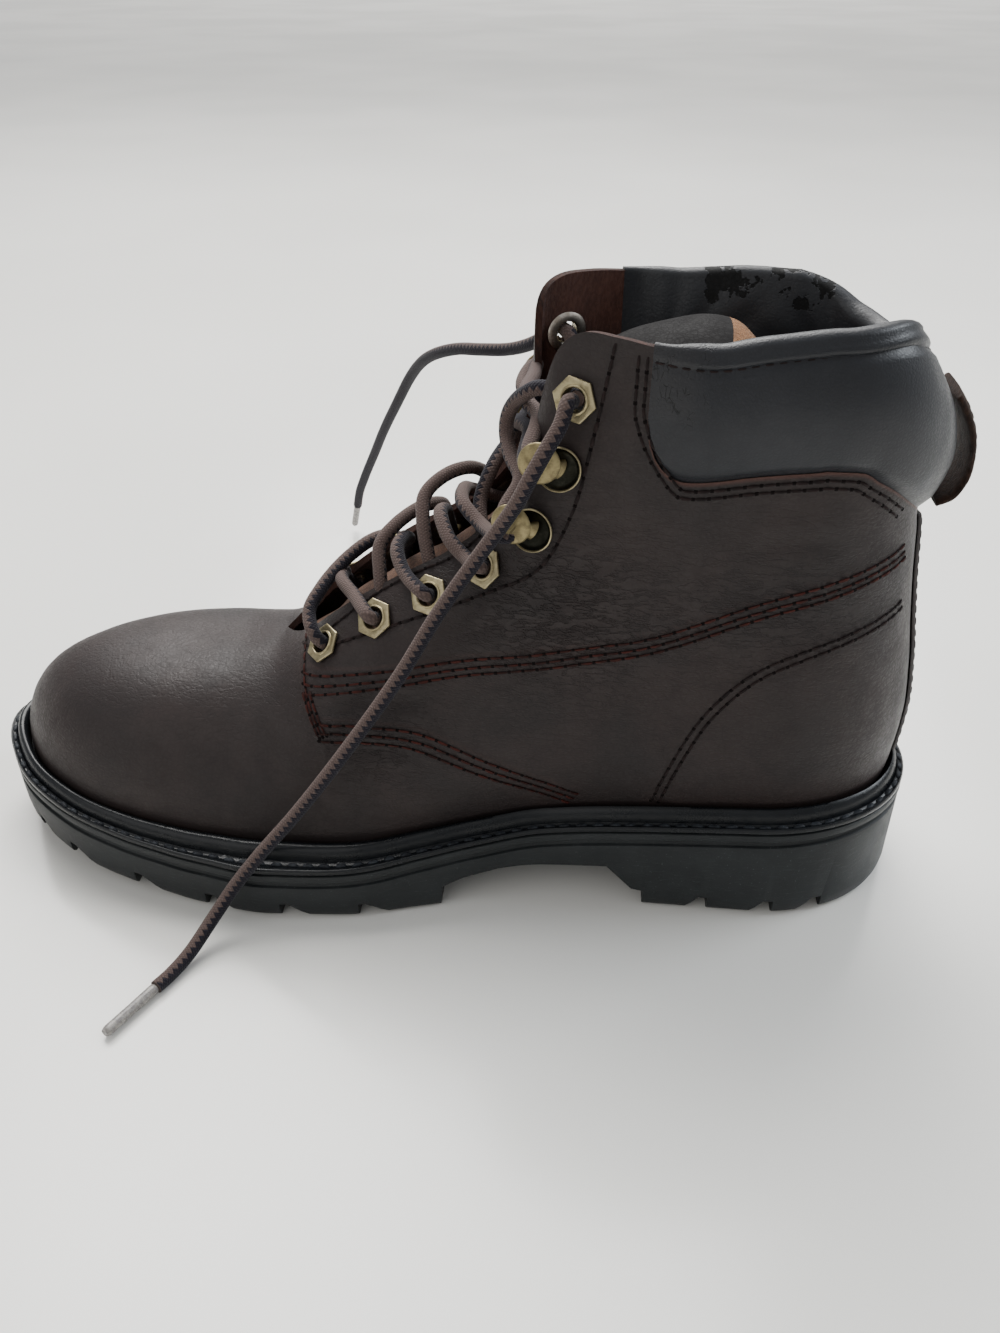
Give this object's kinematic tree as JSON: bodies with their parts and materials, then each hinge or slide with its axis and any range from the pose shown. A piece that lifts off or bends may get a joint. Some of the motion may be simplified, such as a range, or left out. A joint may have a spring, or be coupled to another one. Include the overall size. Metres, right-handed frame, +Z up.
{
  "type": "leather work boot",
  "caption": "Left ankle-high leather work boot with a padded collar, metal eyelets and hooks, open laces and a lugged rubber sole.",
  "frame": {"origin": "on the floor, under the middle of the boot's box with its free laces left out", "axes": "+Z up, toe towards -X, outer side of the foot towards -Y"},
  "size_m": [0.312, 0.333, 0.1895],
  "materials": {
    "sole_rubber": "matt black rubber with a green-grey tint",
    "welt_rubber": "black satin",
    "insole_felt": "dark felt",
    "upper_leather": "dark brown full-grain leather, soft sheen",
    "collar_leather": "smooth blue-black padded leather",
    "tongue_suede": "brown suede",
    "eyelet_brass": "antique brass",
    "lace_yarn": "two-colour braided lace",
    "aglet_sheath": "clear grey sheath"
  },
  "bodies": {
    "root": {"outsole": "sole_rubber", "welt": "welt_rubber", "insole": "insole_felt", "upper": "upper_leather", "collar": "collar_leather", "backstay": "upper_leather", "pull_loop": "tongue_suede", "tongue": "tongue_suede", "eyelet_outer_1": "eyelet_brass", "eyelet_outer_2": "eyelet_brass", "eyelet_outer_3": "eyelet_brass", "eyelet_outer_4": "eyelet_brass", "hook_outer_5": "eyelet_brass", "hook_outer_6": "eyelet_brass", "eyelet_outer_7": "eyelet_brass", "eyelet_inner_1": "eyelet_brass", "eyelet_inner_2": "eyelet_brass", "eyelet_inner_3": "eyelet_brass", "eyelet_inner_4": "eyelet_brass", "hook_inner_5": "eyelet_brass", "hook_inner_6": "eyelet_brass", "eyelet_inner_7": "eyelet_brass", "lacing": "lace_yarn", "lace_end_outer": "lace_yarn", "lace_end_inner": "lace_yarn", "aglet_outer": "aglet_sheath", "aglet_inner": "aglet_sheath"}
  },
  "joints": []
}
